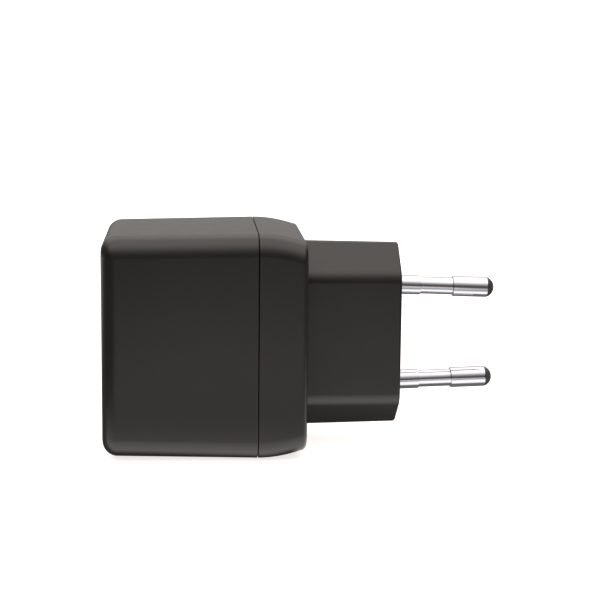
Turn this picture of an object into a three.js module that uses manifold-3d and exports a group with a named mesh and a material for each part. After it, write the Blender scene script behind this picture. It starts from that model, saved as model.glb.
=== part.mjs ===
// USB wall charger with a two-pin mains plug and two USB-A ports. Millimetres, +Z up.
// The origin is the centre of the plug's engagement face. +X runs along the pins, away from the body.
import * as THREE from "three";
import { mergeVertices } from "three/addons/utils/BufferGeometryUtils.js";
import Module from "manifold-3d";

const wasm = await Module();
wasm.setup();

// Housing
const X_FACE = -56.95; // face with the USB ports
const X_SEAM = -27.8; // joint between front shell and rear cover
const X_REAR = -18.7; // wall side of the rear cover, where the plug neck starts
const HALF_Y_FACE = 15.7;
const HALF_Z_FACE = 20.9;
const HALF_Y_SEAM = 16.35;
const HALF_Z_SEAM = 21.3;
const EDGE_R = 4.0; // rounding of the four long edges
const FACE_R = 2.9; // rounding round the port face
const REAR_DROP_Y = 0.3; // how far the rear cover narrows towards the wall side
const REAR_DROP_Z = 1.3;
const RIM_R = 1.0;
const SEAM_GAP = 0.3;
const FRONT_WALL = 2.0;
const CAVITY_Y = 13.9; // half size of the space inside
const CAVITY_Z = 18.7;
const LIP_LENGTH = 2.7; // the rear cover's welding lip inside the front shell
const LIP_WALL = 1.2;
const FIT_GAP = 0.3;

// Plug neck: a flattened hexagon, its height taken over the two sharp ridges
const NECK_TALL_BODY = 37.5;
const NECK_TALL_FACE = 36.6;
const NECK_THICK = 13.7;
const NECK_FLAT = 24.6;
const NECK_WALL = 1.9;
const NECK_FRONT = 4.0;
const NECK_EDGE = 0.5;

// Plug pins, which lean towards each other
const PIN_SPACING_FACE = 19.0;
const PIN_SPACING_TIP = 17.75;
const PIN_LENGTH = 19.0;
const PIN_COLLAR_R = 1.9;
const PIN_COLLAR_END = 4.4;
const PIN_SHANK_R = 1.7;
const PIN_SHANK_END = 10.8;
const PIN_TIP_R = 2.0;
const PIN_TIP_END = 17.5;
const PIN_TAIL = -14.0;
const PIN_LEAN = Math.atan2((PIN_SPACING_FACE - PIN_SPACING_TIP) / 2, PIN_LENGTH);
const BOSS_R = 3.7;
const BOSS_END = -11.0;

// USB-A receptacles
const PORT_PITCH = 14.0;
const PORT_OPEN_Y = 12.5;
const PORT_OPEN_Z = 5.12;
const PORT_SHEET = 0.3;
const PORT_FRONT = -56.6;
const PORT_REAR = -42.6;
const TONGUE_Y = 11.1;
const TONGUE_Z = 1.84;
const TONGUE_FRONT = -55.5;
const BASE_FRONT = -45.6;
const BASE_REAR = -42.9;
const CONTACT_PITCHES = [-3.5, -1.0, 1.0, 3.5];
const CONTACT_WIDE = 1.0;
const CONTACT_SHEET = 0.25;
const GROOVE_WIDE = 1.5;
const GROOVE_DEEP = 1.1;

// Circuit boards
const BOARD = 1.6;
const MAIN_Y = 9.6; // component side of the main board
const MAIN_X0 = -53.5;
const MAIN_X1 = -22.0;
const BOARD_HALF_Z = 16.4;
const USB_BOARD_X = -42.3;
const STAND_OFF = 0.25; // gap between a component and its board
const LEAD_R = 0.3;
const LEAD_HOLE_R = 0.55;
const LEAD_END = MAIN_Y + BOARD + 0.35;

const paint = (color, roughness, metalness = 0) =>
  new THREE.MeshStandardMaterial({ color, roughness, metalness });
const BLACK_PLASTIC = paint(0x33312f, 0.5);
const PIN_METAL = paint(0xd4d6d8, 0.2, 1);
const NOSE_PLASTIC = paint(0x3a3838, 0.5);
const SPRING_METAL = paint(0xc9a86a, 0.35, 1);
const SHEET_STEEL = paint(0xbfc2c6, 0.3, 1);
const BOARD_GREEN = paint(0x1f5a36, 0.5);
const FERRITE = paint(0x3b3c40, 0.6);
const BOBBIN_BLACK = paint(0x232326, 0.6);
const TAPE_YELLOW = paint(0xe0b93a, 0.5);
const SLEEVE_DARK = paint(0x22263a, 0.4);
const SLEEVE_GREEN = paint(0x1f4d3a, 0.4);
const CHIP_BLACK = paint(0x1c1c1e, 0.5);
const RESISTOR_GREEN = paint(0x4f7a5c, 0.6);
const COPPER = paint(0xb66a3a, 0.3, 1);
const CERAMIC_BLUE = paint(0x2f62a8, 0.4);
const SHEET_FILM = paint(0xe6e2d2, 0.5);
const LABEL_FILM = paint(0x3c3a38, 0.45);

const group = new THREE.Group();
group.name = "usb_wall_charger";

// A closed solid from a geometry.
function solid(geometry) {
  const bare = geometry.clone();
  bare.deleteAttribute("normal");
  bare.deleteAttribute("uv");
  const merged = mergeVertices(bare, 1e-4);
  const mesh = new wasm.Mesh({
    numProp: 3,
    vertProperties: new Float32Array(merged.attributes.position.array),
    triVerts: new Uint32Array(merged.index.array),
  });
  return new wasm.Manifold(mesh);
}

// Adds a solid to the group as a named mesh.
function place(name, body, material) {
  const made = body.getMesh();
  const geometry = new THREE.BufferGeometry();
  geometry.setAttribute("position", new THREE.BufferAttribute(new Float32Array(made.vertProperties), 3));
  geometry.setIndex(new THREE.BufferAttribute(new Uint32Array(made.triVerts), 1));
  const flat = geometry.toNonIndexed();
  flat.computeVertexNormals();
  const mesh = new THREE.Mesh(flat, material);
  mesh.name = name;
  group.add(mesh);
}

// A solid skinned over rings of points that all have the same count, closed by a fan at each end.
function loft(rings) {
  const count = rings[0].length;
  const at = [];
  const faces = [];
  for (const ring of rings) {
    for (const p of ring) at.push(p.x, p.y, p.z);
  }
  for (let r = 0; r + 1 < rings.length; r++) {
    for (let i = 0; i < count; i++) {
      const j = (i + 1) % count;
      const a = r * count + i;
      const b = r * count + j;
      faces.push(a, b, a + count, b, b + count, a + count);
    }
  }
  for (const end of [0, rings.length - 1]) {
    const middle = new THREE.Vector3();
    for (const p of rings[end]) middle.addScaledVector(p, 1 / count);
    const hub = at.length / 3;
    at.push(middle.x, middle.y, middle.z);
    for (let i = 0; i < count; i++) {
      const a = end * count + i;
      const b = end * count + ((i + 1) % count);
      if (end === 0) faces.push(hub, b, a);
      else faces.push(hub, a, b);
    }
  }
  const geometry = new THREE.BufferGeometry();
  geometry.setAttribute("position", new THREE.Float32BufferAttribute(at, 3));
  geometry.setIndex(faces);
  return solid(geometry);
}

// A ring across X: a rectangle with rounded corners.
function rectRing(x, halfY, halfZ, radius, steps = 4) {
  const ring = [];
  for (let corner = 0; corner < 4; corner++) {
    const sideY = corner === 0 || corner === 3 ? 1 : -1;
    const sideZ = corner < 2 ? 1 : -1;
    for (let i = 0; i <= steps; i++) {
      const angle = ((corner + i / steps) * Math.PI) / 2;
      const y = sideY * (halfY - radius) + radius * Math.cos(angle);
      const z = sideZ * (halfZ - radius) + radius * Math.sin(angle);
      ring.push(new THREE.Vector3(x, y, z));
    }
  }
  return ring;
}

// A ring across X: the plug's flattened hexagon, its corners slightly cut and its two ridges less so.
function hexRing(x, tall, thick, flat, inset = 0, cornerCut = 0.9, ridgeCut = 0.6) {
  const halfZ = tall / 2 - inset;
  const halfY = thick / 2 - inset;
  const flatZ = flat / 2 - inset * 0.5;
  const corners = [
    [0, halfZ],
    [-halfY, flatZ],
    [-halfY, -flatZ],
    [0, -halfZ],
    [halfY, -flatZ],
    [halfY, flatZ],
  ];
  const ring = [];
  for (let i = 0; i < 6; i++) {
    const here = new THREE.Vector2(...corners[i]);
    const cut = i % 3 === 0 ? ridgeCut : cornerCut;
    for (const other of [corners[(i + 5) % 6], corners[(i + 1) % 6]]) {
      const towards = new THREE.Vector2(...other).sub(here).normalize();
      const p = here.clone().addScaledVector(towards, cut);
      ring.push(new THREE.Vector3(x, p.x, p.y));
    }
  }
  return ring;
}

function box(x0, x1, y0, y1, z0, z1) {
  const geometry = new THREE.BoxGeometry(x1 - x0, y1 - y0, z1 - z0);
  geometry.translate((x0 + x1) / 2, (y0 + y1) / 2, (z0 + z1) / 2);
  return solid(geometry);
}

// A cylinder along Y.
function postY(x, z, radius, y0, y1, sides = 20) {
  const geometry = new THREE.CylinderGeometry(radius, radius, y1 - y0, sides);
  geometry.translate(x, (y0 + y1) / 2, z);
  return solid(geometry);
}

// A turned piece along X: the profile lists [radius, x] from low x to high x.
function turnedX(profile, sides = 16) {
  const points = profile.map(([radius, x]) => new THREE.Vector2(radius, x));
  const geometry = new THREE.LatheGeometry(points, sides);
  geometry.rotateZ(-Math.PI / 2);
  return geometry;
}

// Leans a piece made along X onto one pin's line. Side is +1 for the upper pin.
function ontoPin(geometry, side) {
  geometry.rotateY(side * PIN_LEAN);
  geometry.translate(0, 0, (side * PIN_SPACING_FACE) / 2);
  return geometry;
}

// Front shell: a box with one open end, two port openings in its face
const faceRings = [];
for (let i = 0; i <= 4; i++) {
  const angle = ((i / 4) * Math.PI) / 2;
  const inset = FACE_R * (1 - Math.sin(angle));
  const x = X_FACE + FACE_R * (1 - Math.cos(angle));
  faceRings.push(rectRing(x, HALF_Y_FACE - inset, HALF_Z_FACE - inset, EDGE_R - inset));
}
const seamFront = X_SEAM - SEAM_GAP / 2;
faceRings.push(rectRing(seamFront, HALF_Y_SEAM, HALF_Z_SEAM, EDGE_R));
let frontShell = loft(faceRings);
const frontCavity = [
  rectRing(X_FACE + FRONT_WALL, CAVITY_Y, CAVITY_Z, 1.2, 2),
  rectRing(X_SEAM + 1, CAVITY_Y, CAVITY_Z, 1.2, 2),
];
frontShell = frontShell.subtract(loft(frontCavity));
const portHoleY = PORT_OPEN_Y / 2 + PORT_SHEET + 0.2;
const portHoleZ = PORT_OPEN_Z / 2 + PORT_SHEET + 0.2;
for (const side of [1, -1]) {
  const z = (side * PORT_PITCH) / 2;
  frontShell = frontShell.subtract(box(X_FACE - 1, X_FACE + 3, -portHoleY, portHoleY, z - portHoleZ, z + portHoleZ));
}
// Two ribs inside hold the edges of the main board
for (const side of [1, -1]) {
  const z0 = side > 0 ? BOARD_HALF_Z + FIT_GAP : -CAVITY_Z - 0.2;
  const z1 = side > 0 ? CAVITY_Z + 0.2 : -BOARD_HALF_Z - FIT_GAP;
  frontShell = frontShell.add(box(X_FACE + 1, -32, MAIN_Y - 1.5, MAIN_Y + BOARD + 0.8, z0, z1));
}
place("front_shell", frontShell, BLACK_PLASTIC);

// Rear cover: crowned towards the wall side, with the hollow plug neck in one moulding with it
const seamRear = X_SEAM + SEAM_GAP / 2;
const rearRings = [rectRing(seamRear, HALF_Y_SEAM, HALF_Z_SEAM, EDGE_R)];
const crownEnd = X_REAR - RIM_R;
for (let i = 1; i <= 5; i++) {
  const part = i / 5;
  const drop = part * part;
  const x = seamRear + (crownEnd - seamRear) * part;
  rearRings.push(rectRing(x, HALF_Y_SEAM - REAR_DROP_Y * drop, HALF_Z_SEAM - REAR_DROP_Z * drop, EDGE_R));
}
for (let i = 1; i <= 2; i++) {
  const angle = ((i / 2) * Math.PI) / 2;
  const inset = RIM_R * (1 - Math.cos(angle));
  const halfY = HALF_Y_SEAM - REAR_DROP_Y - inset;
  const halfZ = HALF_Z_SEAM - REAR_DROP_Z - inset;
  rearRings.push(rectRing(crownEnd + RIM_R * Math.sin(angle), halfY, halfZ, EDGE_R - inset));
}
let rearCover = loft(rearRings);
const neckOuter = [
  hexRing(X_REAR - 0.6, NECK_TALL_BODY, NECK_THICK, NECK_FLAT),
  hexRing(-NECK_EDGE, NECK_TALL_FACE, NECK_THICK, NECK_FLAT),
  hexRing(0, NECK_TALL_FACE, NECK_THICK, NECK_FLAT, NECK_EDGE),
];
rearCover = rearCover.add(loft(neckOuter));
const lipY = CAVITY_Y - FIT_GAP;
const lipZ = CAVITY_Z - FIT_GAP;
rearCover = rearCover.add(loft([
  rectRing(seamRear - LIP_LENGTH, lipY, lipZ, 1.0, 2),
  rectRing(seamRear + 0.5, lipY, lipZ, 1.0, 2),
]));
rearCover = rearCover.subtract(loft([
  rectRing(seamRear - LIP_LENGTH - 1, lipY - LIP_WALL, lipZ - LIP_WALL, 0.8, 2),
  rectRing(seamRear + 1.5, lipY - LIP_WALL, lipZ - LIP_WALL, 0.8, 2),
  rectRing(X_REAR - 2, lipY - LIP_WALL, lipZ - LIP_WALL, 0.8, 2),
]));
const hollow = 2 * NECK_WALL;
rearCover = rearCover.subtract(loft([
  hexRing(X_REAR - 3, NECK_TALL_BODY - hollow * 1.3, NECK_THICK - hollow, NECK_FLAT - 1.6, 0, 0.4),
  hexRing(-NECK_FRONT, NECK_TALL_FACE - hollow * 1.3, NECK_THICK - hollow, NECK_FLAT - 1.6, 0, 0.4),
]));
for (const side of [1, -1]) {
  const boss = turnedX([[0, BOSS_END], [BOSS_R, BOSS_END], [BOSS_R, -NECK_FRONT + 0.5], [0, -NECK_FRONT + 0.5]]);
  rearCover = rearCover.add(solid(ontoPin(boss, side)));
}
for (const side of [1, -1]) {
  const holeR = PIN_COLLAR_R + FIT_GAP;
  const hole = turnedX([[0, BOSS_END - 2], [holeR, BOSS_END - 2], [holeR, 1], [0, 1]]);
  rearCover = rearCover.subtract(solid(ontoPin(hole, side)));
}
place("rear_cover", rearCover, BLACK_PLASTIC);

// Pins: a turned metal pin with a shoulder behind its boss, and a plastic nose let into its end
for (const [name, side] of [["live", 1], ["neutral", -1]]) {
  const shoulder = BOSS_END - FIT_GAP;
  const pin = turnedX([
    [0, PIN_TAIL],
    [1.5, PIN_TAIL],
    [1.9, PIN_TAIL + 0.4],
    [1.9, shoulder - 1.0],
    [2.9, shoulder - 1.0],
    [2.9, shoulder],
    [PIN_COLLAR_R, shoulder],
    [PIN_COLLAR_R, PIN_COLLAR_END],
    [PIN_SHANK_R, PIN_COLLAR_END + 0.15],
    [PIN_SHANK_R, PIN_SHANK_END - 0.15],
    [PIN_TIP_R, PIN_SHANK_END + 0.15],
    [PIN_TIP_R, PIN_TIP_END],
    [1.2, PIN_TIP_END],
    [1.2, PIN_TIP_END - 2.6],
    [0, PIN_TIP_END - 2.6],
  ], 20);
  place(`pin_${name}`, solid(ontoPin(pin, side)), PIN_METAL);
  const noseStart = PIN_TIP_END + 0.1;
  const nose = [[0, noseStart - 2.2], [0.9, noseStart - 2.2], [0.9, noseStart], [PIN_TIP_R - 0.05, noseStart]];
  for (let i = 1; i <= 5; i++) {
    const angle = ((i / 5) * Math.PI) / 2;
    nose.push([(PIN_TIP_R - 0.05) * Math.cos(angle), noseStart + (PIN_LENGTH - noseStart) * Math.sin(angle)]);
  }
  nose[nose.length - 1][0] = 0;
  place(`pin_${name}_nose`, solid(ontoPin(turnedX(nose, 20), side)), NOSE_PLASTIC);
}

// A bent strip: a path in X and Z, given thickness, and a width across Y.
function strip(path, sheet, y0, y1) {
  const left = [];
  const right = [];
  for (let i = 0; i < path.length; i++) {
    const here = new THREE.Vector2(...path[i]);
    const before = new THREE.Vector2(...path[Math.max(i - 1, 0)]);
    const after = new THREE.Vector2(...path[Math.min(i + 1, path.length - 1)]);
    const along = after.sub(before).normalize();
    const out = new THREE.Vector2(-along.y, along.x).multiplyScalar(sheet / 2);
    left.push(here.clone().add(out));
    right.push(here.clone().sub(out));
  }
  const shape = new THREE.Shape([...right, ...left.reverse()]);
  const geometry = new THREE.ExtrudeGeometry(shape, { depth: y1 - y0, bevelEnabled: false });
  geometry.rotateX(Math.PI / 2); // the strip's width now runs along Y, downwards from zero
  geometry.translate(0, y1, 0);
  return solid(geometry);
}

// Mains contact springs: from the main board to the tail of each pin
for (const [name, side] of [["live", 1], ["neutral", -1]]) {
  const tailZ = (side * PIN_SPACING_FACE) / 2 - side * Math.tan(PIN_LEAN) * (PIN_TAIL + 1);
  const z = tailZ + side * 2.4;
  const path = [
    [-25.6, z],
    [-17.5, z],
    [-15.0, z + side * 0.35],
    [-13.6, z + side * 0.05],
    [-12.9, z + side * 0.5],
  ];
  const blade = strip(path, 0.4, -1.6, 1.6);
  const foot = box(-26.8, -25.2, -1.6, LEAD_END, z - 0.2, z + 0.2);
  place(`mains_contact_${name}`, blade.add(foot), SPRING_METAL);
}

// USB-A ports: sheet-metal shell, insulating tongue, four contact springs each
for (const [name, side] of [["upper", 1], ["lower", -1]]) {
  const mid = (side * PORT_PITCH) / 2;
  const inY = PORT_OPEN_Y / 2;
  const inZ = PORT_OPEN_Z / 2;
  const outY = inY + PORT_SHEET;
  const outZ = inZ + PORT_SHEET;
  let shell = box(PORT_FRONT, PORT_REAR, -outY, outY, mid - outZ, mid + outZ);
  shell = shell.subtract(box(PORT_FRONT - 1, PORT_REAR + 1, -inY, inY, mid - inZ, mid + inZ));
  for (const face of [1, -1]) {
    for (const y of [-3.1, 3.1]) {
      const wall0 = face > 0 ? mid + inZ - 0.2 : mid - outZ - 0.2;
      const wall1 = face > 0 ? mid + outZ + 0.2 : mid - inZ + 0.2;
      shell = shell.subtract(box(-53.4, -48.6, y - 1.2, y + 1.2, wall0, wall1));
      const root = mid + face * (inZ + PORT_SHEET / 2);
      const leaf = [[-48.4, root], [-50.2, root - face * 0.1], [-52.2, root - face * 0.5], [-53.1, root - face * 0.25]];
      shell = shell.add(strip(leaf.reverse(), 0.22, y - 0.8, y + 0.8));
    }
  }
  for (const tab of [1, -1]) {
    const y0 = tab > 0 ? inY : -outY;
    shell = shell.add(box(PORT_REAR - 0.5, USB_BOARD_X + BOARD + 0.6, y0, y0 + PORT_SHEET, mid - 0.9, mid + 0.9));
  }
  place(`usb_shell_${name}`, shell, SHEET_STEEL);

  let tongue = box(TONGUE_FRONT, BASE_FRONT + 0.5, -TONGUE_Y / 2, TONGUE_Y / 2, mid, mid + TONGUE_Z);
  tongue = tongue.add(box(BASE_FRONT, BASE_REAR, -inY + 0.2, inY - 0.2, mid - inZ + 0.2, mid + inZ - 0.2));
  for (const y of CONTACT_PITCHES) {
    const wide = GROOVE_WIDE / 2;
    tongue = tongue.subtract(box(TONGUE_FRONT + 0.7, BASE_REAR + 1, y - wide, y + wide, mid - 0.25, mid + GROOVE_DEEP));
  }
  place(`usb_tongue_${name}`, tongue, BLACK_PLASTIC);

  CONTACT_PITCHES.forEach((y, i) => {
    const path = [
      [-54.0, mid + 0.15],
      [-53.5, mid + 0.0],
      [-52.4, mid - 0.48],
      [-51.6, mid - 0.6],
      [-50.8, mid - 0.5],
      [-47.4, mid + 0.25],
      [-46.2, mid + 0.4],
      [-43.2, mid + 0.4],
    ];
    const wide = CONTACT_WIDE / 2;
    place(`usb_contact_${name}_${i + 1}`, strip(path, CONTACT_SHEET, y - wide, y + wide), SPRING_METAL);
  });
}

// Boards
const leadHoles = [];
function lead(x, z, y0 = MAIN_Y - 1) {
  leadHoles.push([x, z]);
  return postY(x, z, LEAD_R, y0, LEAD_END, 8);
}

let usbBoard = box(USB_BOARD_X, USB_BOARD_X + BOARD, -11.6, MAIN_Y - FIT_GAP, -BOARD_HALF_Z, BOARD_HALF_Z);
for (const side of [1, -1]) {
  const mid = (side * PORT_PITCH) / 2;
  for (const tab of [1, -1]) {
    const y = tab * (PORT_OPEN_Y / 2 + PORT_SHEET / 2);
    usbBoard = usbBoard.subtract(box(USB_BOARD_X - 1, USB_BOARD_X + 3, y - 0.4, y + 0.4, mid - 1.2, mid + 1.2));
  }
  const tooth = side * 10.5;
  usbBoard = usbBoard.add(box(USB_BOARD_X, USB_BOARD_X + BOARD, 8, LEAD_END, tooth - 2, tooth + 2));
}
place("usb_board", usbBoard, BOARD_GREEN);

// Electrolytic capacitors stand on the main board, their cans along Y
function capacitor(name, x, z, radius, length, material) {
  const y1 = MAIN_Y - STAND_OFF;
  const y0 = y1 - length;
  const can = new THREE.LatheGeometry([
    new THREE.Vector2(0, y0),
    new THREE.Vector2(radius - 0.4, y0),
    new THREE.Vector2(radius, y0 + 0.4),
    new THREE.Vector2(radius, y1 - 1.8),
    new THREE.Vector2(radius - 0.35, y1 - 1.4),
    new THREE.Vector2(radius, y1 - 1.0),
    new THREE.Vector2(radius, y1),
    new THREE.Vector2(0, y1),
  ], 20);
  can.translate(x, 0, z);
  const pitch = radius * 0.35;
  place(name, solid(can).add(lead(x, z - pitch, y1 - 0.5)).add(lead(x, z + pitch, y1 - 0.5)), material);
}
capacitor("bulk_capacitor_a", -35.6, -3.8, 4.0, 14.0, SLEEVE_DARK);
capacitor("bulk_capacitor_b", -35.6, -12.2, 4.0, 14.0, SLEEVE_DARK);
capacitor("output_capacitor_a", -48.6, 0, 3.15, 11.0, SLEEVE_GREEN);
capacitor("output_capacitor_b", -48.6, 13.2, 3.15, 11.0, SLEEVE_GREEN);

// Transformer: a bobbin with pins, a taped winding and two E-shaped ferrite halves, all centred on one line
const TR_X = -33.6;
const TR_Z = 9.2;
const TR_TOP = -5.2;
const TR_BASE = MAIN_Y - STAND_OFF;
const TR_MID = 1.6; // where the two ferrite halves meet
const CORE_BACK = 1.7;
const CORE_HALF_X = 2.0;
const FLANGE = 0.7;
const flangeTop = TR_TOP + CORE_BACK + FIT_GAP;
const flangeBase = TR_BASE - 3.0;
function trBox(halfX, y0, y1, z0, z1) {
  return box(TR_X - halfX, TR_X + halfX, y0, y1, TR_Z + z0, TR_Z + z1);
}
let bobbin = trBox(5.4, flangeTop, flangeTop + FLANGE, -4.6, 4.6);
bobbin = bobbin.add(trBox(5.4, flangeBase, flangeBase + FLANGE, -4.6, 4.6));
bobbin = bobbin.add(trBox(2.9, flangeTop, flangeBase + FLANGE, -2.9, 2.9));
for (const side of [1, -1]) {
  const railX = TR_X + side * 4.3;
  bobbin = bobbin.add(box(railX - 1.9, railX + 1.9, flangeBase + 0.4, TR_BASE - 0.1, TR_Z - 6, TR_Z + 6));
  for (const dz of [-3.6, 0, 3.6]) {
    bobbin = bobbin.add(lead(TR_X + side * 5.2, TR_Z + dz, TR_BASE - 0.6));
  }
}
bobbin = bobbin.subtract(trBox(2.3, TR_TOP, TR_BASE, -2.2, 2.2));
place("transformer_bobbin", bobbin, BOBBIN_BLACK);
const windLow = flangeTop + FLANGE + FIT_GAP;
const windHigh = flangeBase - FIT_GAP;
const winding = trBox(5.1, windLow, windHigh, -4.4, 4.4).subtract(trBox(3.2, windLow - 1, windHigh + 1, -3.2, 3.2));
place("transformer_winding", winding, TAPE_YELLOW);
for (const [name, side] of [["near", -1], ["far", 1]]) {
  const back0 = side < 0 ? TR_TOP : TR_BASE - CORE_BACK - FIT_GAP;
  const y0 = side < 0 ? TR_TOP : TR_MID + FIT_GAP / 2;
  const y1 = side < 0 ? TR_MID - FIT_GAP / 2 : TR_BASE - FIT_GAP;
  let core = trBox(CORE_HALF_X, back0, back0 + CORE_BACK, -6.4, 6.4);
  core = core.add(trBox(CORE_HALF_X, y0, y1, -6.4, -4.9));
  core = core.add(trBox(CORE_HALF_X, y0, y1, 4.9, 6.4));
  core = core.add(trBox(CORE_HALF_X, y0, y1, -1.9, 1.9));
  place(`transformer_core_${name}`, core, FERRITE);
}

// Bridge rectifier: a small block with four feet
const bridge = { x0: -30.2, x1: -25.6, z0: -4.2, z1: 2.0 };
let rectifier = box(bridge.x0, bridge.x1, MAIN_Y - 2.9, MAIN_Y - 0.4, bridge.z0, bridge.z1);
for (const x of [bridge.x0 - 0.9, bridge.x1 - 0.1]) {
  for (const z of [-2.8, 0.6]) {
    rectifier = rectifier.add(box(x, x + 1.0, MAIN_Y - 0.7, MAIN_Y - 0.2, z - 0.4, z + 0.4));
  }
}
place("bridge_rectifier", rectifier, CHIP_BLACK);

// Fusible resistor standing on end beside the live contact
const fuseX = -24.2;
const fuseZ = 4.2;
let fuse = postY(fuseX, fuseZ, 1.6, 0.4, 8.4, 16);
fuse = fuse.add(postY(fuseX, fuseZ, LEAD_R, -0.9, 1.0, 8));
fuse = fuse.add(box(fuseX - 0.3, fuseX + 0.3, -1.3, -0.7, fuseZ - 0.3, fuseZ + 2.9));
fuse = fuse.add(lead(fuseX, fuseZ + 2.6, -1.3));
fuse = fuse.add(lead(fuseX, fuseZ, 8.0));
place("fuse_resistor", fuse, RESISTOR_GREEN);

// Filter choke: a drum core with its winding
const chokeX = -28.0;
const chokeZ = -7.6;
const drum = new THREE.LatheGeometry([
  new THREE.Vector2(0, 1.2),
  new THREE.Vector2(3.0, 1.2),
  new THREE.Vector2(3.0, 2.2),
  new THREE.Vector2(2.6, 2.3),
  new THREE.Vector2(2.6, 8.0),
  new THREE.Vector2(3.0, 8.1),
  new THREE.Vector2(3.0, MAIN_Y - STAND_OFF),
  new THREE.Vector2(0, MAIN_Y - STAND_OFF),
], 20);
drum.translate(chokeX, 0, chokeZ);
let choke = solid(drum);
choke = choke.add(lead(chokeX, chokeZ - 1.8, 9)).add(lead(chokeX, chokeZ + 1.8, 9));
place("filter_choke", choke, COPPER);

// Safety capacitor: a disc between the two sides of the transformer
const discX = -48.6;
const discZ = -12.9;
const disc = new THREE.CylinderGeometry(3.2, 3.2, 2.6, 20);
disc.rotateX(Math.PI / 2);
disc.translate(discX, 4.6, discZ);
let safety = solid(disc);
safety = safety.add(lead(discX - 1.8, discZ, 6)).add(lead(discX + 1.8, discZ, 6));
place("safety_capacitor", safety, CERAMIC_BLUE);

// Chips on the far side of the main board
for (const [name, x, z] of [["controller_chip", -35.0, 1.4], ["rectifier_chip", -47.0, -5.6]]) {
  const y0 = MAIN_Y + BOARD + 0.15;
  let chip = box(x - 2.5, x + 2.5, y0, y0 + 1.4, z - 2.0, z + 2.0);
  for (const side of [1, -1]) {
    for (const dx of [-1.9, -0.63, 0.63, 1.9]) {
      const z0 = side > 0 ? z + 1.9 : z - 3.0;
      chip = chip.add(box(x + dx - 0.2, x + dx + 0.2, y0, y0 + 0.4, z0, z0 + 1.1));
    }
  }
  place(name, chip, CHIP_BLACK);
}

// Main board, with a hole for every lead, slots for the other board's teeth and for the mains contacts' feet
let mainBoard = box(MAIN_X0, MAIN_X1, MAIN_Y, MAIN_Y + BOARD, -BOARD_HALF_Z, BOARD_HALF_Z);
for (const [x, z] of leadHoles) {
  mainBoard = mainBoard.subtract(postY(x, z, LEAD_HOLE_R, MAIN_Y - 1, MAIN_Y + BOARD + 1, 8));
}
for (const side of [1, -1]) {
  const tooth = side * 10.5;
  mainBoard = mainBoard.subtract(
    box(USB_BOARD_X - 0.3, USB_BOARD_X + BOARD + 0.3, MAIN_Y - 1, MAIN_Y + BOARD + 1, tooth - 2.3, tooth + 2.3),
  );
  const tailZ = (side * PIN_SPACING_FACE) / 2 - side * Math.tan(PIN_LEAN) * (PIN_TAIL + 1) + side * 2.4;
  mainBoard = mainBoard.subtract(box(-27.1, -24.9, MAIN_Y - 1, MAIN_Y + BOARD + 1, tailZ - 0.5, tailZ + 0.5));
}
place("main_board", mainBoard, BOARD_GREEN);

// Insulating film between the tall components and the near wall
place("insulation_film", box(-54.0, -31.0, -12.8, -12.5, -16.0, 16.0), SHEET_FILM);

// Blank rating label under the body, following the draft of that face
const LABEL_X0 = -50.5;
const LABEL_X1 = -33.5;
const draft = (x) => HALF_Z_FACE + ((HALF_Z_SEAM - HALF_Z_FACE) * (x - X_FACE - FACE_R)) / (seamFront - X_FACE - FACE_R);
const labelRings = [];
for (const x of [LABEL_X0, LABEL_X1]) {
  const top = -draft(x) - 0.03;
  labelRings.push([
    new THREE.Vector3(x, 9, top),
    new THREE.Vector3(x, -9, top),
    new THREE.Vector3(x, -9, top - 0.12),
    new THREE.Vector3(x, 9, top - 0.12),
  ]);
}
place("rating_label", loft(labelRings), LABEL_FILM);

export default group;
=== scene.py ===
"""The looks of a small USB wall charger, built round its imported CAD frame.

Lengths are in millimetres until a mesh is made, and in metres on the stage.
"""
import itertools
import math

import bmesh
import bpy
from mathutils import Matrix, Vector


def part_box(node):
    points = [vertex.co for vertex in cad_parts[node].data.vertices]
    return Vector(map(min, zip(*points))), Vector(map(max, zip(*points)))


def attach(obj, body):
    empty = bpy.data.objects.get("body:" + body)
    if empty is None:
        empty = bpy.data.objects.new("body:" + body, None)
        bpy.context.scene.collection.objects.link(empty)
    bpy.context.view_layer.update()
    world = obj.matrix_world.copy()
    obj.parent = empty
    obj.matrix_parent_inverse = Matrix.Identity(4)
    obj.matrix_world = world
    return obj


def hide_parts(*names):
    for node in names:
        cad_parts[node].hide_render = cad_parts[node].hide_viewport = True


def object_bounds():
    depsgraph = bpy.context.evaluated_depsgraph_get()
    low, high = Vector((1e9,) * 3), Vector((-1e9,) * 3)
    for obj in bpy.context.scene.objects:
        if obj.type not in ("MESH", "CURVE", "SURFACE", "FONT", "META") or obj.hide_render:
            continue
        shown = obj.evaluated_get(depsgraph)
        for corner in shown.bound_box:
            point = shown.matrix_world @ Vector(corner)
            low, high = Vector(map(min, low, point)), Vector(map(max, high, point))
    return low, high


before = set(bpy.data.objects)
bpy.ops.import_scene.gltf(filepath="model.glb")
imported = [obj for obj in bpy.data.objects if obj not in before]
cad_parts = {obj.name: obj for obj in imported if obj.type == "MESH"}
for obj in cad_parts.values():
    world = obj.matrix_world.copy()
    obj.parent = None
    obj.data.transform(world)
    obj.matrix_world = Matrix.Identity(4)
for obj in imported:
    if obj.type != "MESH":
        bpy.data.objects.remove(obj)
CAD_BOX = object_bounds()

MM = 0.001
HOUSING = "housing"


# ---------------------------------------------------------------- sizes, in the CAD's frame

def node_box(name):
    low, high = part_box(name)
    return low / MM, high / MM


front_low, front_high = node_box("front_shell")

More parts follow.
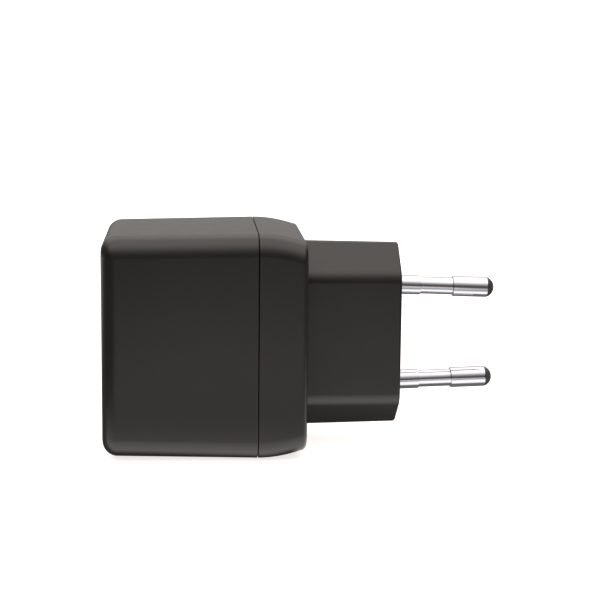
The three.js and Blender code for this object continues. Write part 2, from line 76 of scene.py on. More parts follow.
# The housing. Its long edges run along X, from the port face over the seam to the rear.
CAD_SEAM_HALF = 0.15  # the CAD's seam is wider than the one shown, SEAM_HALF
COVER_LENGTH = 9.1
X_FACE = front_low.x
X_SEAM = front_high.x + CAD_SEAM_HALF
X_REAR = X_SEAM + COVER_LENGTH
X_PLUG = node_box("rear_cover")[1].x
HALF_Y = front_high.y
HALF_Z = front_high.z
DRAFT_Y = 0.65
DRAFT_Z = 0.4
EDGE_R = 4.0
FACE_R = 2.9
RIM_R = 1.0
REAR_DROP_Y = 0.3
REAR_DROP_Z = 1.3
SEAM_HALF = 0.075
SEAM_EDGE_R = 0.09
END_WALL = 2.0
CAVITY_Y = 13.9
CAVITY_Z = 18.7
CAVITY_R = 1.2
GUARD = 0.12  # a flat border that keeps a rounded edge's shading off the flat face beside it

# The cover's welding lip, which goes into the front shell.
LIP_Y = 13.6
LIP_Z = 18.4
LIP_R = 1.0
LIP_INNER_R = 0.8
LIP_END_R = 0.9
LIP_WALL = 1.2
LIP_LENGTH = 2.7
LIP_CHAMFER = 0.2

# The plug neck.
NECK_TALL_BODY = 37.5
NECK_TALL_FACE = 36.6
NECK_THICK = 13.7
NECK_FLAT = 24.6
NECK_EDGE_R = 3.6
NECK_RIDGE_R = 1.2
NECK_WALL = 1.9
NECK_RIDGE_WALL = NECK_WALL * 1.3
NECK_FRONT = 4.0
NECK_ROOT_R = 0.1
NECK_ROOT_GUARD = 0.04
NECK_FACE_R = 0.5
HOLLOW_FLAT = NECK_FLAT - 1.6
HOLLOW_EDGE_R = 1.2
HOLLOW_RIDGE_R = 0.8

# The pins and the bosses that hold them.
PIN_Z = 9.5
PIN_LEAN = math.atan2((19.0 - 17.75) / 2, 19.0)
PIN_STEPS = 48
PIN_TIP_R = 2.0
PIN_COLLAR_R = 1.9
PIN_SHANK_R = 1.7
PIN_END_R = 1.95
NOSE_DOME_R = 2.08
NOSE_END = 18.98
PIN_HOLE_R = 1.98
BOSS_R = 3.7
BOSS_END = -11.0

# The ports.
PORT_Z = 7.0
PORT_HALF_Y = 6.75
PORT_HALF_Z = 3.06
PORT_R = 0.7
PORT_LIP_R = 0.35
SHELL_SHEET = 0.3
CONTACT_ROWS = (-3.5, -1.0, 1.0, 3.5)


# ---------------------------------------------------------------- mesh building

class Skin:
    """The points and faces of one piece, in millimetres."""

    def __init__(self):
        self.points = []
        self.faces = []

    def ring(self, points):
        first = len(self.points)
        self.points.extend(Vector(p) for p in points)
        return list(range(first, len(self.points)))

    def bridge(self, a, b):
        count = len(a)
        for i in range(count):
            j = (i + 1) % count
            self.faces.append((a[i], a[j], b[j], b[i]))

    def run(self, rings):
        for a, b in zip(rings, rings[1:]):
            self.bridge(a, b)

    def cap(self, ring):
        self.faces.append(tuple(ring))

    def closed_run(self, rings):
        """A run of rings with a cap at each end."""
        self.run(rings)
        self.cap(rings[0])
        self.cap(rings[-1])

    def flat(self, *rings):
        """Fills the flat region inside the first ring and outside the others."""
        scratch = bmesh.new()
        index = {}
        for ring in rings:
            made = [scratch.verts.new(self.points[i]) for i in ring]
            for vert, i in zip(made, ring):
                index[vert] = i
            for a, b in zip(made, made[1:] + made[:1]):
                scratch.edges.new((a, b))
        bmesh.ops.triangle_fill(
            scratch, use_beauty=True, use_dissolve=False, edges=scratch.edges[:],
        )
        for face in scratch.faces:
            self.faces.append(tuple(index[v] for v in face.verts))
        scratch.free()


def make(name, skin, material, body=HOUSING, replaces=(), sharp=32, weighted=True):
    """Turns a skin into a finished object that rides on a body."""
    mesh = bpy.data.meshes.new(name)
    mesh.from_pydata([p * MM for p in skin.points], [], skin.faces)
    work = bmesh.new()
    work.from_mesh(mesh)
    bmesh.ops.recalc_face_normals(work, faces=work.faces[:])
    work.to_mesh(mesh)
    work.free()
    for polygon in mesh.polygons:
        polygon.use_smooth = True
    mesh.set_sharp_from_angle(angle=math.radians(sharp))
    mesh.materials.append(material)
    obj = bpy.data.objects.new(name, mesh)
    bpy.context.scene.collection.objects.link(obj)
    if weighted:
        normals = obj.modifiers.new("even_shading", "WEIGHTED_NORMAL")
        normals.keep_sharp = True
        normals.weight = 80
    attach(obj, body)
    if replaces:
        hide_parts(*replaces)
    return obj


def soften(obj, width, segments=2):
    """Rounds a piece's hard edges."""
    bevel = obj.modifiers.new("soft_edges", "BEVEL")
    bevel.width = width * MM
    bevel.segments = segments
    bevel.limit_method = "ANGLE"
    bevel.angle_limit = math.radians(40)
    bevel.harden_normals = True
    return obj


def arc(start, end, steps):
    """Evenly spaced values from start to end, both included."""
    return [start + (end - start) * i / steps for i in range(steps + 1)]


def quarter(steps):
    return arc(0, math.pi / 2, steps)


def circle(radius, steps=PIN_STEPS):
    """Points round a circle, each as a distance along Y and one along Z."""
    angles = [2 * math.pi * i / steps for i in range(steps)]
    return [(radius * math.cos(angle), radius * math.sin(angle)) for angle in angles]


def round_rect(x, half_y, half_z, radius, steps=10, mid_z=0.0):
    """A rectangle with round corners, square to X."""
    ring = []
    for corner in range(4):
        side_y = 1 if corner in (0, 3) else -1
        side_z = 1 if corner < 2 else -1
        for i in range(steps + 1):
            angle = (corner + i / steps) * math.pi / 2
            y = side_y * (half_y - radius) + radius * math.cos(angle)
            z = side_z * (half_z - radius) + radius * math.sin(angle)
            ring.append((x, y, mid_z + z))
    return ring


def round_corners(corners, radii, steps):
    """A closed outline with each corner rounded by its own radius."""
    outline = []
    count = len(corners)
    for i, (corner, radius) in enumerate(zip(corners, radii)):
        here = Vector(corner)
        before = (Vector(corners[i - 1]) - here).normalized()
        after = (Vector(corners[(i + 1) % count]) - here).normalized()
        half = before.angle(after) / 2
        centre = here + (before + after).normalized() * radius / math.sin(half)
        start = here + before * radius / math.tan(half) - centre
        end = here + after * radius / math.tan(half) - centre
        turn = start.angle(end)
        for k in range(steps + 1):
            t = k / steps
            spoke = (start * math.sin((1 - t) * turn) + end * math.sin(t * turn)) / math.sin(turn)
            outline.append(centre + spoke)
    return outline


def hexagon(x, tall, thick, flat, inset=0.0, edge_r=NECK_EDGE_R, ridge_r=NECK_RIDGE_R):
    """The neck's outline: a ridge at the top and bottom, and a flat on the near and far side."""
    half_z = tall / 2 - inset * 1.2
    half_y = thick / 2 - inset
    flat_z = flat / 2 - inset * 0.5
    corners = [
        (0, half_z), (-half_y, flat_z), (-half_y, -flat_z),
        (0, -half_z), (half_y, -flat_z), (half_y, flat_z),
    ]
    radii = [ridge_r, edge_r, edge_r, ridge_r, edge_r, edge_r]
    return [(x, p.x, p.y) for p in round_corners(corners, radii, 8)]


def on_pin(x, y, z, side):
    """A point beside a pin's own axis, leaned onto that pin's line."""
    lean = side * PIN_LEAN
    across = side * PIN_Z - x * math.sin(lean) + z * math.cos(lean)
    return (x * math.cos(lean) + z * math.sin(lean), y, across)


def pin_ring(x, radius, side):
    """A circle square to a pin's own axis."""
    return [on_pin(x, y, z, side) for y, z in circle(radius)]


def upright_ring(x, radius, side):
    """A circle square to X, centred on a pin's line."""
    centre = side * (PIN_Z - x * math.tan(PIN_LEAN))
    return [(x, y, centre + z) for y, z in circle(radius)]


# ---------------------------------------------------------------- materials

class Graph:
    """The nodes of a material or a world."""

    def __init__(self, owner):
        owner.use_nodes = True
        self.nodes, self.links = owner.node_tree.nodes, owner.node_tree.links

    def coordinates(self, kind):
        return self.nodes.new("ShaderNodeTexCoord").outputs[kind]

    def feed(self, socket, value):
        """Links an output to a socket, or gives the socket a plain value."""
        if isinstance(value, bpy.types.NodeSocket):
            self.links.new(value, socket)
        else:
            socket.default_value = value

    def calculate(self, operation, *values):
        node = self.nodes.new("ShaderNodeMath")
        node.operation = operation
        for socket, value in zip(node.inputs, values):
            self.feed(socket, value)
        return node.outputs["Value"]

    def times(self, a, b):
        return self.calculate("MULTIPLY", a, b)

    def parts(self, vector):
        """A vector's X, Y and Z."""
        node = self.nodes.new("ShaderNodeSeparateXYZ")
        self.feed(node.inputs["Vector"], vector)
        return [node.outputs[axis] for axis in "XYZ"]

    def mix(self, share, a, b, colour=False):
        node = self.nodes.new("ShaderNodeMix")
        node.data_type = "RGBA" if colour else "FLOAT"
        kind = "RGBA" if colour else "VALUE"
        self.feed(node.inputs["Factor"], share)
        for socket, value in zip([s for s in node.inputs if s.type == kind][-2:], (a, b)):
            self.feed(socket, value)
        return next(s for s in node.outputs if s.type == kind)

    def map_range(self, value, start, end, low, high, kind="LINEAR"):
        node = self.nodes.new("ShaderNodeMapRange")
        node.interpolation_type = kind
        for name, given in (
            ("Value", value), ("From Min", start), ("From Max", end), ("To Min", low), ("To Max", high),
        ):
            self.feed(node.inputs[name], given)
        return node.outputs["Result"]

    def soft_step(self, value, start, end, low=0.0, high=1.0):
        return self.map_range(value, start, end, low, high, "SMOOTHSTEP")

    def ramp(self, share, stops):
        """A colour that changes with share. Each stop is a place and a colour."""
        node = self.nodes.new("ShaderNodeValToRGB")
        elements = node.color_ramp.elements
        while len(elements) < len(stops):
            elements.new(0.5)
        for element, (position, color) in zip(elements, stops):
            element.position = position
            element.color = (*color, 1)
        self.feed(node.inputs["Fac"], share)
        return node.outputs["Color"]

    def noise(self, place, size_mm, detail=3.0, stretch=None):
        node = self.nodes.new("ShaderNodeTexNoise")
        node.inputs["Scale"].default_value = 1000.0 / size_mm
        node.inputs["Detail"].default_value = detail
        if stretch:
            mapping = self.nodes.new("ShaderNodeMapping")
            mapping.inputs["Scale"].default_value = stretch
            self.links.new(place, mapping.inputs["Vector"])
            place = mapping.outputs["Vector"]
        self.links.new(place, node.inputs["Vector"])
        return node.outputs["Fac"]

    def bump(self, height, depth_mm, strength):
        node = self.nodes.new("ShaderNodeBump")
        node.inputs["Strength"].default_value = strength
        node.inputs["Distance"].default_value = depth_mm * MM
        self.links.new(height, node.inputs["Height"])
        return node.outputs["Normal"]


NOISE_LOW, NOISE_HIGH = 0.3, 0.7  # most of a noise texture's values lie between these
METAL_SHADE = 0.96
GLOSS_VARY = 0.012


def surface(name, dark, light, patch_mm):
    """A material whose colour wanders between two shades, in patches of about this size."""
    material = bpy.data.materials.new(name)
    graph = Graph(material)
    shader = graph.nodes["Principled BSDF"]
    place = graph.coordinates("Object")
    shade = graph.ramp(graph.noise(place, patch_mm), [(NOISE_LOW, dark), (NOISE_HIGH, light)])
    graph.feed(shader.inputs["Base Color"], shade)
    return material, graph, shader, place


def detail(graph, shader, gloss, low, high, marks, depth_mm, strength):
    """Roughness from low to high that follows one noise, and relief that follows another."""
    rough = graph.map_range(gloss, NOISE_LOW, NOISE_HIGH, low, high)
    graph.feed(shader.inputs["Roughness"], rough)
    graph.feed(shader.inputs["Normal"], graph.bump(marks, depth_mm, strength))


def plastic(name, color, rough, grain_mm=0.22, depth_mm=0.004, vary=0.06):
    """Moulded plastic with a fine eroded grain, and slightly uneven in colour and gloss."""
    dark = [c * (1 - vary) for c in color]
    light = [c * (1 + vary) for c in color]
    material, graph, shader, place = surface(name, dark, light, 9.0)
    gloss, grain = graph.noise(place, 3.0), graph.noise(place, grain_mm, 4.0)
    detail(graph, shader, gloss, rough - GLOSS_VARY, rough + GLOSS_VARY, grain, depth_mm, 0.35)
    return material


def metal(name, color, rough, stretch, grain_mm=0.12, depth_mm=0.0015):
    """Plated or rolled metal with fine marks along one direction."""
    dark = [c * METAL_SHADE for c in color]
    material, graph, shader, place = surface(name, dark, color, 4.0)
    shader.inputs["Metallic"].default_value = 1.0
    marks = graph.noise(place, grain_mm, 2.0, stretch)
    detail(graph, shader, marks, rough * 0.8, rough * 1.25, marks, depth_mm, 0.3)
    return material


HOUSING_PLASTIC = plastic("housing_plastic", (0.014, 0.013, 0.0123), 0.32)
NOSE_PLASTIC = plastic("nose_plastic", (0.052, 0.051, 0.053), 0.40, grain_mm=0.15)
TONGUE_PLASTIC = plastic("tongue_plastic", (0.52, 0.51, 0.48), 0.35, grain_mm=0.1)
LABEL_FILM = plastic("label_film", (0.03, 0.029, 0.028), 0.3, grain_mm=0.4, depth_mm=0.002)
PIN_METAL = metal("pin_nickel", (0.61, 0.62, 0.68), 0.13, (1.0, 0.02, 0.02))
SHELL_STEEL = metal("port_shell_steel", (0.62, 0.62, 0.63), 0.25, (0.03, 1.0, 1.0))
CONTACT_GOLD = metal("contact_gold", (0.86, 0.62, 0.28), 0.22, (0.05, 1.0, 1.0), grain_mm=0.08)
SPRING_BRONZE = metal("spring_bronze", (0.72, 0.52, 0.30), 0.3, (0.05, 1.0, 1.0))
BOARD_MASK = plastic(
    "board_mask", (0.012, 0.10, 0.035), 0.3, grain_mm=0.5, depth_mm=0.01, vary=0.25,
)
FERRITE = plastic("ferrite", (0.035, 0.035, 0.038), 0.6, grain_mm=0.12, depth_mm=0.02, vary=0.2)
BOBBIN = plastic("bobbin_plastic", (0.012, 0.012, 0.012), 0.45)
TAPE = plastic("winding_tape", (0.62, 0.36, 0.02), 0.25, grain_mm=0.6, depth_mm=0.01, vary=0.1)
BULK_SLEEVE = plastic("bulk_sleeve", (0.012, 0.015, 0.045), 0.25, grain_mm=0.8, depth_mm=0.006)
OUTPUT_SLEEVE = plastic("output_sleeve", (0.01, 0.06, 0.035), 0.25, grain_mm=0.8, depth_mm=0.006)
CHIP = plastic("chip_package", (0.012, 0.012, 0.013), 0.5, grain_mm=0.08, depth_mm=0.006)
FUSE = plastic("fuse_lacquer", (0.06, 0.16, 0.085), 0.3, grain_mm=0.5, depth_mm=0.02, vary=0.15)
CHOKE = metal("choke_copper", (0.80, 0.36, 0.16), 0.3, (0.02, 1.0, 0.02), grain_mm=0.35, depth_mm=0.03)
SAFETY = plastic(
    "safety_lacquer", (0.02, 0.09, 0.35), 0.25, grain_mm=0.9, depth_mm=0.03, vary=0.12,
)
FILM = plastic("insulating_film", (0.62, 0.58, 0.44), 0.3, grain_mm=1.2, depth_mm=0.004)


# ---------------------------------------------------------------- front shell

def port_opening(skin, side):
    """One port's opening in the port face. Gives its outline on the face and on the inside."""
    mid_z = side * PORT_Z

    def outline(x, grow):
        return skin.ring(round_rect(x, PORT_HALF_Y + grow, PORT_HALF_Z + grow, PORT_R + grow, 6, mid_z))

    rings = [outline(X_FACE, PORT_LIP_R + GUARD)]
    for angle in quarter(4):
        lip = PORT_LIP_R * (1 - math.sin(angle))
        rings.append(outline(X_FACE + PORT_LIP_R * (1 - math.cos(angle)), lip))
    rings.append(outline(X_FACE + END_WALL, 0))
    skin.run(rings)
    return rings[0], rings[-1]


def front_shell():
    """A box that is open at the seam, with the ports' openings in its face."""
    skin = Skin()
    seam = X_SEAM - SEAM_HALF
    face_y, face_z = HALF_Y - DRAFT_Y, HALF_Z - DRAFT_Z
    outer = []
    for angle in quarter(10):
        inset = FACE_R * (1 - math.sin(angle))
        x = X_FACE + FACE_R * (1 - math.cos(angle))
        outer.append(skin.ring(round_rect(x, face_y - inset, face_z - inset, EDGE_R - inset)))
    for angle in quarter(3):
        inset = SEAM_EDGE_R * (1 - math.cos(angle))
        x = seam - SEAM_EDGE_R + SEAM_EDGE_R * math.sin(angle)
        outer.append(skin.ring(round_rect(x, HALF_Y - inset, HALF_Z - inset, EDGE_R - inset)))
    inner = [
        skin.ring(round_rect(seam, CAVITY_Y, CAVITY_Z, CAVITY_R)),
        skin.ring(round_rect(X_FACE + END_WALL, CAVITY_Y, CAVITY_Z, CAVITY_R)),
    ]
    skin.run(outer + inner)
    mouths, throats = zip(*(port_opening(skin, side) for side in (1, -1)))
    rim, corner_r = FACE_R + GUARD, EDGE_R - FACE_R + 0.05
    border = skin.ring(round_rect(X_FACE, face_y - rim, face_z - rim, corner_r))
    skin.bridge(border, outer[0])
    skin.flat(border, *mouths)
    skin.flat(inner[-1], *throats)
    return make("housing_front", skin, HOUSING_PLASTIC, replaces=["front_shell"])


# ---------------------------------------------------------------- rear cover with the plug neck

def cover_rings(skin):
    """From inside the welding lip, round its end, out at the seam and over the crown to the rear."""
    seam = X_SEAM + SEAM_HALF
    lip_end = X_SEAM + CAD_SEAM_HALF - LIP_LENGTH
    in_y, in_z = LIP_Y - LIP_WALL, LIP_Z - LIP_WALL
    cut = LIP_CHAMFER
    rings = [
        skin.ring(round_rect(X_REAR - END_WALL, in_y, in_z, LIP_INNER_R)),
        skin.ring(round_rect(lip_end + cut, in_y, in_z, LIP_INNER_R)),
        skin.ring(round_rect(lip_end, in_y + cut, in_z + cut, LIP_END_R)),
        skin.ring(round_rect(lip_end, LIP_Y - cut, LIP_Z - cut, LIP_END_R)),
        skin.ring(round_rect(lip_end + cut, LIP_Y, LIP_Z, LIP_R)),
        skin.ring(round_rect(seam, LIP_Y, LIP_Z, LIP_R)),
    ]
    for angle in quarter(3):
        inset = SEAM_EDGE_R * (1 - math.sin(angle))
        x = seam + SEAM_EDGE_R * (1 - math.cos(angle))
        rings.append(skin.ring(round_rect(x, HALF_Y - inset, HALF_Z - inset, EDGE_R - inset)))
    crown_start, crown_end = seam + SEAM_EDGE_R, X_REAR - RIM_R
    for part in arc(0, 1, 16)[1:]:
        drop = part * part
        x = crown_start + (crown_end - crown_start) * part
        half_y, half_z = HALF_Y - REAR_DROP_Y * drop, HALF_Z - REAR_DROP_Z * drop
        rings.append(skin.ring(round_rect(x, half_y, half_z, EDGE_R)))
    for angle in quarter(6)[1:]:
        inset = RIM_R * (1 - math.cos(angle))
        x = crown_end + RIM_R * math.sin(angle)
        half_y, half_z = HALF_Y - REAR_DROP_Y - inset, HALF_Z - REAR_DROP_Z - inset
        rings.append(skin.ring(round_rect(x, half_y, half_z, EDGE_R - inset)))
    skin.run(rings)
    end_y, end_z = HALF_Y - REAR_DROP_Y - RIM_R, HALF_Z - REAR_DROP_Z - RIM_R
    rings.append(skin.ring(round_rect(X_REAR, end_y - GUARD, end_z - GUARD, EDGE_R - RIM_R)))
    skin.bridge(rings[-2], rings[-1])
    return rings


def neck_rings(skin):
    """The outside of the neck, from the cover to the plug face."""
    def at_root(x, grow):
        return skin.ring(hexagon(x, NECK_TALL_BODY, NECK_THICK, NECK_FLAT, -grow))

    def at_face(x, inset):
        return skin.ring(hexagon(x, NECK_TALL_FACE, NECK_THICK, NECK_FLAT, inset))

    neck = [at_root(X_REAR, NECK_ROOT_R + NECK_ROOT_GUARD)]
    for angle in quarter(3):
        x = X_REAR + NECK_ROOT_R * (1 - math.cos(angle))
        neck.append(at_root(x, NECK_ROOT_R * (1 - math.sin(angle))))
    for angle in quarter(5):
        x = X_PLUG - NECK_FACE_R + NECK_FACE_R * math.sin(angle)
        neck.append(at_face(x, NECK_FACE_R * (1 - math.cos(angle))))
    neck.append(at_face(X_PLUG, NECK_FACE_R + GUARD))
    skin.run(neck)
    return neck


def pin_boss(skin, side):
    """A pin's hole and the boss round it. Gives its outline on the plug face and on the inside."""
    lip_r, chamfer = 0.18, 0.3
    rings = []
    for lip, x in ((lip_r + GUARD, 0.0), (lip_r, 0.0), (0.05, -0.05), (0.0, -0.2)):
        rings.append(skin.ring(upright_ring(X_PLUG + x, PIN_HOLE_R + lip, side)))
    rings.append(skin.ring(pin_ring(BOSS_END, PIN_HOLE_R, side)))
    rings.append(skin.ring(pin_ring(BOSS_END, BOSS_R - chamfer, side)))
    rings.append(skin.ring(pin_ring(BOSS_END + chamfer, BOSS_R, side)))
    rings.append(skin.ring(upright_ring(-NECK_FRONT, BOSS_R, side)))
    skin.run(rings)
    return rings[0], rings[-1]


def rear_cover():
    """The cover and the hollow neck, which are one moulding, with a boss for each pin."""
    skin = Skin()
    cover = cover_rings(skin)
    neck = neck_rings(skin)
    skin.flat(cover[-1], neck[0])
    hollow = []
    for x, tall in ((X_REAR - END_WALL, NECK_TALL_BODY), (-NECK_FRONT, NECK_TALL_FACE)):
        hollow.append(skin.ring(hexagon(
            x, tall - 2 * NECK_RIDGE_WALL, NECK_THICK - 2 * NECK_WALL, HOLLOW_FLAT,
            edge_r=HOLLOW_EDGE_R, ridge_r=HOLLOW_RIDGE_R,
        )))
    skin.run(hollow)
    skin.flat(cover[0], hollow[0])
    mouths, roots = zip(*(pin_boss(skin, side) for side in (1, -1)))
    skin.flat(neck[-1], *mouths)
    skin.flat(hollow[-1], *roots)
    return make("housing_rear", skin, HOUSING_PLASTIC, replaces=["rear_cover"])


# ---------------------------------------------------------------- pins

def turned(name, profile, side, material, replaces):
    """A turned piece from its profile, a list of radii and places along the pin."""
    skin = Skin()
    skin.closed_run([skin.ring(pin_ring(x, radius, side)) for radius, x in profile])
    return make(name, skin, material, replaces=replaces, sharp=38)


def fillet_steps(r0, x0, r1, x1, steps=4):
    """A quarter round from one radius and place to another, bulging outwards."""
    return [
        (r0 + (r1 - r0) * math.sin(angle), x0 + (x1 - x0) * (1 - math.cos(angle)))
        for angle in quarter(steps)
    ]


def pin(label, side):
    """One pin: its metal, and the dark domed nose that is plugged into the metal's end."""
    tail, flange = -14.0, BOSS_END - 0.3
    profile = [(1.3, tail)]
    profile += fillet_steps(1.5, tail, PIN_COLLAR_R, -13.6)
    profile += [  # the flange behind the boss
        (PIN_COLLAR_R, flange - 1.05), (2.75, flange - 1.0), (2.9, flange - 0.85),
        (2.9, flange - 0.12), (2.78, flange), (PIN_COLLAR_R, flange + 0.02),
    ]
    # the collar and the step down to the shank
    profile += [(PIN_COLLAR_R, 4.34), (1.88, 4.4), (1.73, 4.43), (PIN_SHANK_R, 4.5)]
    # the step up to the tip
    profile += [(PIN_SHANK_R, 10.62), (1.73, 10.7), (1.84, 10.74)]
    profile += fillet_steps(1.86, 10.75, PIN_TIP_R, 10.95)
    # the end of the metal and the socket in it
    profile += [(PIN_TIP_R, 12.0), (PIN_TIP_R, 17.4), (1.99, 17.5), (PIN_END_R, 17.55)]
    profile += [(1.2, 17.56), (1.2, 15.2), (1.0, 15.0)]
    turned(f"pin_{label}_metal", profile, side, PIN_METAL, [f"pin_{label}"])
    nose = [(0.75, 15.3), (0.9, 15.5), (0.9, 17.58), (1.9, 17.6)]
    for angle in arc(math.asin(PIN_END_R / NOSE_DOME_R), 0, 14):
        x = NOSE_END - NOSE_DOME_R * (1 - math.cos(angle))
        nose.append((NOSE_DOME_R * math.sin(angle), x))
    nose[-1] = (0.02, nose[-1][1])  # not quite a point, so that the cap on it has an area
    turned(f"pin_{label}_cap", nose, side, NOSE_PLASTIC, [f"pin_{label}_nose"])


# ---------------------------------------------------------------- USB-A ports

def port_shell(label, mid):
    """Folded sheet metal: a tube with windows, and a sprung finger bent inwards in each window.

    It is drawn as the middle of the sheet, round the tube (outline) and at places along it.
    """
    half_y, half_z, corner, flare_length = 6.4, 2.71, 0.6, 0.6
    front, rear = -56.6, -42.6
    across = [5.8, 4.3, 3.9, 2.3, 1.9, 0.0, -1.9, -2.3, -3.9, -4.3, -5.8]
    along = [front, front + 0.25, front + flare_length]
    along += [-53.4, -53.0, -52.6, -52.1, -51.5, -50.8, -49.8, -48.6, -46.0, rear]
    outline = [(y, half_z) for y in across]
    for corner_z, first in ((half_z - corner, 5), (corner - half_z, 8)):
        for angle in (eighth * math.pi / 8 for eighth in range(first, first + 4)):
            y = corner - half_y + corner * math.cos(angle)
            outline.append((y, corner_z + corner * math.sin(angle)))
    outline += [(-y, -z) for y, z in outline]
    count = len(outline)
    skin = Skin()
    rings = []
    for x in along:
        flare = 0.1 * max(0.0, 1 - (x - front) / flare_length) ** 2
        wider, taller = 1 + flare / half_y, 1 + flare / half_z
        rings.append(skin.ring([(x, y * wider, mid + z * taller) for y, z in outline]))
    window = range(3, 10)  # along the tube, counted as in along
    strips = {1: "gap", 2: "finger", 3: "gap", 6: "gap", 7: "finger", 8: "gap"}  # as in across
    sides = [(i, (i + 1) % count, strips.get(i % (count // 2))) for i in range(count)]
    for r, (a, b) in enumerate(zip(rings, rings[1:])):
        for i, j, strip in sides:
            if not (strip and r in window):
                skin.faces.append((a[i], a[j], b[j], b[i]))
    bend = {4: 0.18, 5: 0.42, 6: 0.55, 7: 0.42, 8: 0.22, 9: 0.07}  # how far inwards, by place
    for i, j, strip in sides:
        if strip != "finger":
            continue
        inward = -1 if outline[i][1] > 0 else 1
        behind = (rings[window.stop][i], rings[window.stop][j])
        for r in sorted(bend, reverse=True):
            edge = skin.ring([(along[r], y, mid + z + inward * bend[r]) for y, z in (outline[i], outline[j])])
            skin.faces.append((edge[0], edge[1], behind[1], behind[0]))
            behind = edge
    obj = make(
        f"port_{label}_shell", skin, SHELL_STEEL,
        replaces=[f"usb_shell_{label}"], weighted=False,
    )
    wall = obj.modifiers.new("sheet", "SOLIDIFY")
    wall.thickness = SHELL_SHEET * MM
    wall.offset = 0.0
    return obj


CELL_SIDES = (  # the way to the next cell, and the corners of the side that faces it
    ((-1, 0, 0), ((0, 0, 0), (0, 0, 1), (0, 1, 1), (0, 1, 0))),
    ((1, 0, 0), ((1, 0, 0), (1, 1, 0), (1, 1, 1), (1, 0, 1))),
    ((0, -1, 0), ((0, 0, 0), (1, 0, 0), (1, 0, 1), (0, 0, 1))),
    ((0, 1, 0), ((0, 1, 0), (0, 1, 1), (1, 1, 1), (1, 1, 0))),
    ((0, 0, -1), ((0, 0, 0), (0, 1, 0), (1, 1, 0), (1, 0, 0))),
    ((0, 0, 1), ((0, 0, 1), (1, 0, 1), (1, 1, 1), (0, 1, 1))),
)


def blocks(grid, filled):
    """The outside of the filled cells of a box grid."""
    skin = Skin()
    index = {}

    def shifted(cell, by):
        return tuple(n + step for n, step in zip(cell, by))

    def corner(cell):
        if cell not in index:
            index[cell] = len(skin.points)
            skin.points.append(Vector([values[n] for values, n in zip(grid, cell)]))
        return index[cell]

    def full(cell):
        if not all(0 <= n < len(values) - 1 for values, n in zip(grid, cell)):
            return False
        return filled(*((values[n] + values[n + 1]) / 2 for values, n in zip(grid, cell)))

    for cell in itertools.product(*(range(len(values) - 1) for values in grid)):
        if not full(cell):
            continue
        for way, corners in CELL_SIDES:
            if not full(shifted(cell, way)):
                skin.faces.append(tuple(corner(shifted(cell, by)) for by in corners))
    return skin


def port_tongue(label, mid):
    """The insulating tongue, with a groove for each contact, and its base block."""
    tongue_start, base_start, tongue_half, base_half = -54.8, -45.6, 5.55, 6.05
    groove_low, groove_high, tongue_top, groove_half = -0.25, 1.1, 1.84, 0.75
    xs = [-55.5, tongue_start, base_start, -42.9]
    ys = [-base_half, -tongue_half]
    for row in CONTACT_ROWS:
        ys += [row - groove_half, row + groove_half]
    ys += [tongue_half, base_half]
    zs = [mid + z for z in (-2.36, groove_low, 0.0, groove_high, tongue_top, 2.36)]

    def filled(x, y, z):
        in_row = any(abs(y - row) < groove_half for row in CONTACT_ROWS)
        if x > tongue_start and groove_low < z - mid < groove_high and in_row:
            return False
        return x > base_start or (abs(y) < tongue_half and 0 < z - mid < tongue_top)

    obj = make(
        f"port_{label}_tongue", blocks((xs, ys, zs), filled), TONGUE_PLASTIC,
        replaces=[f"usb_tongue_{label}"], weighted=False,
    )
    return soften(obj, 0.12, 3)


def smooth_path(points, per_span):
    """A Catmull-Rom curve through the points."""
    points = [Vector(p) for p in points]
    padded = [points[0] * 2 - points[1], *points, points[-1] * 2 - points[-2]]
    made = []
    for a, b, c, d in zip(padded, padded[1:], padded[2:], padded[3:]):
        slope, curve, twist = c - a, 2 * a - 5 * b + 4 * c - d, 3 * b - a - 3 * c + d
        for t in (k / per_span for k in range(per_span)):
            made.append(0.5 * (2 * b + slope * t + curve * t * t + twist * t ** 3))
    made.append(points[-1])
    return made


def spring(name, path, y, body, replaces):
    """A bent strip of sheet metal, its path in X and Z. Its free end is narrower."""
    width, sheet, taper, taper_points = 1.0, 0.25, 0.35, 6
    skin = Skin()
    points = smooth_path(path, 6)
    rings = []
    for i, here in enumerate(points):
        along = (points[min(i + 1, len(points) - 1)] - points[max(i - 1, 0)]).normalized()
        out = Vector((-along.y, along.x))
        share = 1 - taper * max(0.0, 1 - i / taper_points)
        half_w, half_t, cut = width / 2 * share, sheet / 2, sheet * 0.28
        section = [
            (-half_w + cut, -half_t), (half_w - cut, -half_t),
            (half_w, -half_t + cut), (half_w, half_t - cut),
            (half_w - cut, half_t), (-half_w + cut, half_t),
            (-half_w, half_t - cut), (-half_w, -half_t + cut),
        ]
        rings.append(skin.ring([(here.x + out.x * v, y + u, here.y + out.y * v) for u, v in section]))
    skin.closed_run(rings)
    return make(name, skin, CONTACT_GOLD, body=body, replaces=replaces, sharp=50)


def port_contacts(label, mid):
    path = [
        (-54.0, mid + 0.15), (-53.5, mid), (-52.4, mid - 0.48), (-51.6, mid - 0.6),
        (-50.8, mid - 0.5), (-47.4, mid + 0.25), (-46.2, mid + 0.4), (-43.2, mid + 0.4),
    ]
    for i, y in enumerate(CONTACT_ROWS, 1):
        spring(
            f"port_{label}_contact_{i}", path, y, f"usb_springs_{label}",
            [f"usb_contact_{label}_{i}"],
        )


# ---------------------------------------------------------------- label

